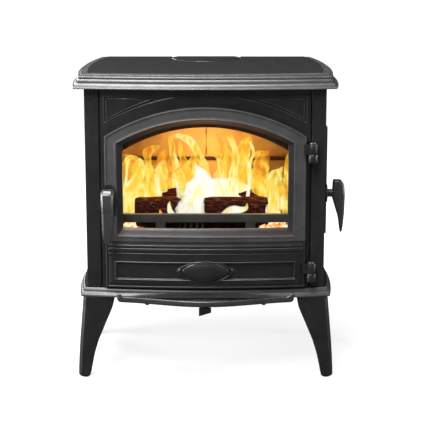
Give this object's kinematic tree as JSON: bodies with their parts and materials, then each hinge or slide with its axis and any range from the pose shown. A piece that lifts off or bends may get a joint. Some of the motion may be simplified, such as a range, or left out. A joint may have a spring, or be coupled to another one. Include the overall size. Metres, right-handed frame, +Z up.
{
  "type": "wood burning stove",
  "caption": "Free-standing cast-iron wood burning stove with a moulded top, an arched glass door, a side loading door, splayed legs and a rear flue collar.",
  "frame": {"origin": "middle of the footprint of the four legs, on the floor", "axes": "+X to the right seen from the front, +Y to the back, +Z up"},
  "size_m": [0.656, 0.4951, 0.742],
  "materials": {
    "cast_iron": "matte charcoal",
    "bare_steel": "blackened",
    "lining_plate": "rough, heat stained",
    "log_bark": "charred bark",
    "seal_rope": "woven fibre",
    "door_glass": "clear"
  },
  "bodies": {
    "stove": {"top_plate": "cast_iron", "base_plate": "cast_iron", "front_plate": "cast_iron", "left_side_panel": "cast_iron", "right_side_panel": "cast_iron", "back_panel": "cast_iron", "flue_collar": "cast_iron", "flue_collar_bolts": "bare_steel", "tie_rods": "bare_steel", "tie_rod_nuts": "bare_steel", "front_right_leg": "cast_iron", "front_left_leg": "cast_iron", "rear_right_leg": "cast_iron", "rear_left_leg": "cast_iron", "leg_bolts": "bare_steel", "ash_lip": "cast_iron", "ash_lip_bolts": "bare_steel", "air_slide_guides": "bare_steel", "door_hinge_lugs": "cast_iron", "door_hinge_pins": "bare_steel", "side_hinge_lugs": "cast_iron", "side_hinge_pins": "bare_steel", "air_wash_frame": "cast_iron", "left_lining": "lining_plate", "right_lining": "lining_plate", "lower_back_lining": "lining_plate", "upper_back_lining_left": "lining_plate", "upper_back_lining_right": "lining_plate", "baffle_plate": "lining_plate", "firebox_floor": "cast_iron", "log_bar": "cast_iron", "ash_pan_rails": "bare_steel", "left_log": "log_bark", "right_log": "log_bark", "back_log": "log_bark"},
    "flue_cover": {"flue_cover": "cast_iron"},
    "air_slide": {"air_slide": "bare_steel"},
    "front_door": {"door_frame": "cast_iron", "door_rope_seal": "seal_rope", "door_glass": "door_glass", "glass_gasket": "seal_rope", "glass_clips": "bare_steel", "glass_clip_screws": "bare_steel", "front_handle_boss": "cast_iron"},
    "front_latch": {"front_handle": "cast_iron", "front_handle_shaft": "bare_steel", "front_latch_cam": "bare_steel"},
    "side_door": {"side_door": "cast_iron", "side_door_lining": "lining_plate", "side_door_rope_seal": "seal_rope", "side_handle_boss": "cast_iron"},
    "side_latch": {"side_handle": "cast_iron", "side_handle_shaft": "bare_steel", "side_latch_cam": "bare_steel"},
    "riddling_grate": {"riddling_grate": "cast_iron", "riddling_rod": "bare_steel"},
    "ash_pan": {"ash_pan": "bare_steel"}
  },
  "joints": [
    {"name": "front_door_hinge", "type": "hinge", "parent": "stove", "child": "front_door", "pos_m": [0.2525, -0.196, 0.41], "axis": [0, 0, 1], "range_deg": [0, 100]},
    {"name": "front_handle_turn", "type": "hinge", "parent": "front_door", "child": "front_latch", "pos_m": [-0.229, -0.21, 0.443], "axis": [0, -1, 0], "range_deg": [0, 75]},
    {"name": "side_door_hinge", "type": "hinge", "parent": "stove", "child": "side_door", "pos_m": [0.295, 0.12, 0.48], "axis": [0, 0, 1], "range_deg": [0, 95]},
    {"name": "side_handle_turn", "type": "hinge", "parent": "side_door", "child": "side_latch", "pos_m": [0.3, -0.115, 0.444], "axis": [-1, 0, 0], "range_deg": [0, 75]},
    {"name": "flue_cover_lift", "type": "slide", "parent": "stove", "child": "flue_cover", "axis": [0, 0, 1], "range_m": [0, 0.1]},
    {"name": "air_slide_travel", "type": "slide", "parent": "stove", "child": "air_slide", "axis": [1, 0, 0], "range_m": [-0.015, 0.015]},
    {"name": "grate_riddle", "type": "slide", "parent": "stove", "child": "riddling_grate", "axis": [0, 1, 0], "range_m": [0, 0.015]},
    {"name": "ash_pan_pull", "type": "slide", "parent": "stove", "child": "ash_pan", "axis": [0, -1, 0], "range_m": [0, 0.011]}
  ]
}
